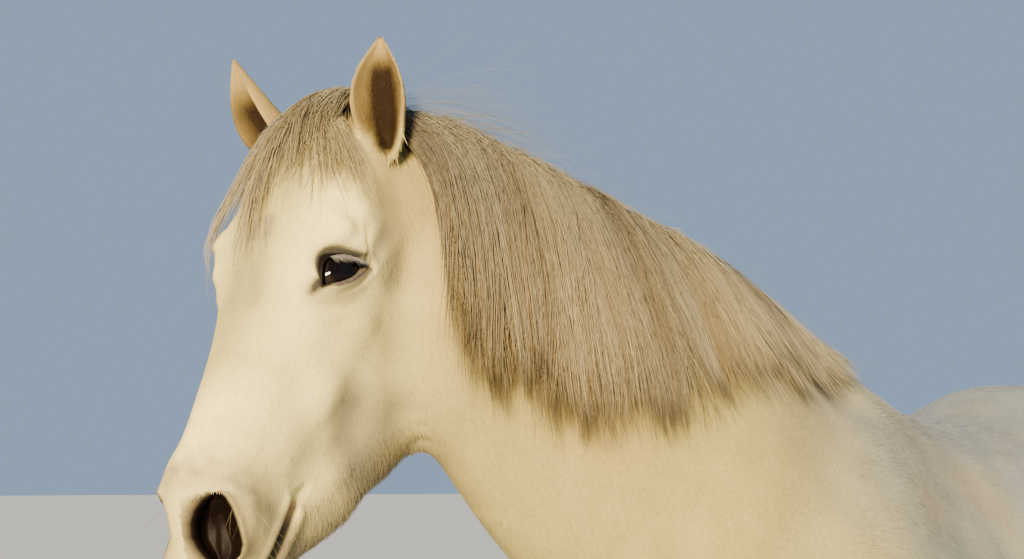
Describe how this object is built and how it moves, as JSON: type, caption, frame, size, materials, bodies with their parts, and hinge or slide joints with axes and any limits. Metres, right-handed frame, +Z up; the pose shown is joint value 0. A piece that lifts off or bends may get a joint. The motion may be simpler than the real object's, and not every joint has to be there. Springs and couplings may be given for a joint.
{
  "type": "horse",
  "caption": "Life-size still model of a standing grey horse with a winter coat, its head turned, and a long mane over the left side of its neck.",
  "frame": {"origin": "on the ground under the middle of the whole model's box", "axes": "+Z up; the horse faces -X and its left side is towards -Y"},
  "size_m": [2.2674, 0.7236, 1.7894],
  "materials": {
    "face_coat": "short cream-grey winter hair, darker skin at the eyes, nostrils and lips",
    "body_coat": "cream-grey winter coat, cooler and greyer in the shaded places",
    "mane_hair": "long straw-coloured hair with grey and cream streaks",
    "tail_hair": "long straw and grey hair",
    "eye": "wet, glossy, dark brown",
    "hoof": "dark grey-brown horn with growth rings"
  },
  "bodies": {
    "root": {"head": "face_coat", "lower_jaw": "face_coat", "neck": "body_coat", "trunk": "body_coat", "eye_left": "eye", "eye_right": "eye", "ear_left": "face_coat", "ear_right": "face_coat", "foreleg_upper_left": "body_coat", "foreleg_lower_left": "body_coat", "fore_hoof_left": "hoof", "foreleg_upper_right": "body_coat", "foreleg_lower_right": "body_coat", "fore_hoof_right": "hoof", "hindleg_upper_left": "body_coat", "hindleg_lower_left": "body_coat", "hind_hoof_left": "hoof", "hindleg_upper_right": "body_coat", "hindleg_lower_right": "body_coat", "hind_hoof_right": "hoof", "mane": "mane_hair", "forelock": "mane_hair", "tail": "tail_hair"}
  },
  "joints": []
}
